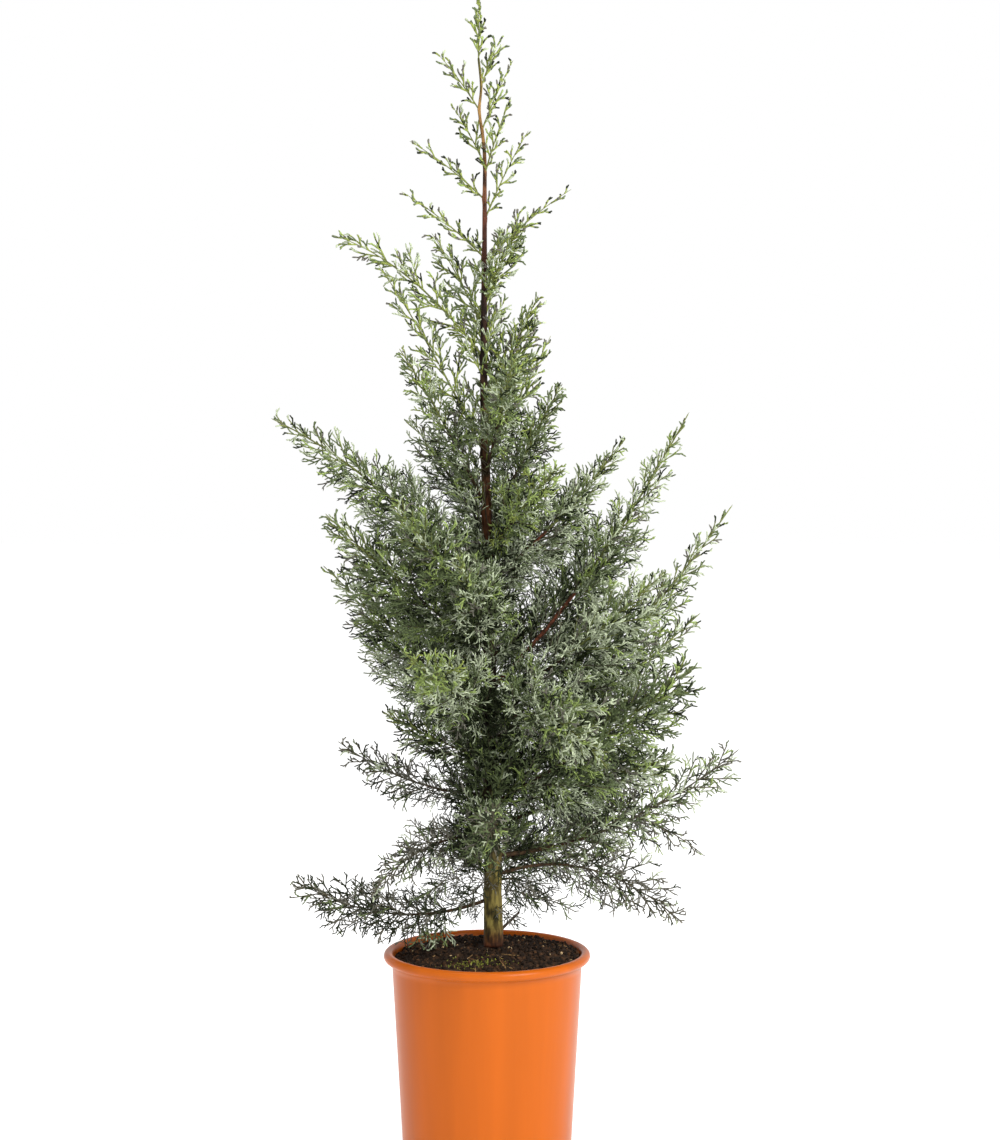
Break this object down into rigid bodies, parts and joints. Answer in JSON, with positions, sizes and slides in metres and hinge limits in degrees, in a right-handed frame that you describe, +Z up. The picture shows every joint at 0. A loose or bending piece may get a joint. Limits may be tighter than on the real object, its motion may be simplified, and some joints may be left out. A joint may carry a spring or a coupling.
{
  "type": "potted arizona cypress sapling",
  "caption": "Young conifer with a slim straight trunk, feathery grey-green scale-leaf sprays and an upright open crown, standing in a round orange pot of soil.",
  "frame": {"origin": "centre of the pot's flat underside", "axes": "+Z up along the trunk, -Y towards the viewer of the picture, +X to the viewer's right"},
  "size_m": [0.4289, 0.3316, 1.0704],
  "materials": {
    "pot_plastic": "satin",
    "soil": "rough",
    "bark": "rough",
    "bough_bark": "rough",
    "leaves": "matte"
  },
  "bodies": {
    "root": {"pot": "pot_plastic", "soil": "soil", "trunk": "bark", "bough_middle_1": "bough_bark", "bough_middle_4": "bough_bark", "bough_middle_5": "bough_bark", "bough_middle_6": "bough_bark", "bough_lower_2": "bough_bark", "bough_lower_4": "bough_bark", "bough_lower_6": "bough_bark", "foliage_top": "leaves", "foliage_leader_1": "leaves", "foliage_leader_2": "leaves", "foliage_leader_3": "leaves", "foliage_leader_4": "leaves", "foliage_leader_5": "leaves", "foliage_leader_6": "leaves", "foliage_leader_7": "leaves", "foliage_leader_8": "leaves", "foliage_leader_9": "leaves", "foliage_upper_1": "leaves", "foliage_upper_2": "leaves", "foliage_upper_3": "leaves", "foliage_upper_4": "leaves", "foliage_upper_5": "leaves", "foliage_upper_6": "leaves", "foliage_upper_7": "leaves", "foliage_upper_8": "leaves", "foliage_upper_9": "leaves", "foliage_middle_1": "leaves", "foliage_middle_2": "leaves", "foliage_middle_3": "leaves", "foliage_middle_4": "leaves", "foliage_middle_5": "leaves", "foliage_middle_6": "leaves", "foliage_middle_7": "leaves", "foliage_middle_8": "leaves", "foliage_middle_9": "leaves", "foliage_middle_10": "leaves", "foliage_middle_11": "leaves", "foliage_middle_12": "leaves", "foliage_middle_13": "leaves", "foliage_middle_14": "leaves", "foliage_middle_15": "leaves", "foliage_lower_1": "leaves", "foliage_lower_2": "leaves", "foliage_lower_3": "leaves", "foliage_lower_4": "leaves", "foliage_lower_5": "leaves", "foliage_lower_6": "leaves", "foliage_lower_7": "leaves", "foliage_lower_8": "leaves", "foliage_back_1": "leaves", "foliage_back_2": "leaves", "foliage_back_3": "leaves", "foliage_back_4": "leaves", "foliage_back_5": "leaves", "foliage_back_6": "leaves", "foliage_back_7": "leaves", "foliage_back_8": "leaves"}
  },
  "joints": []
}
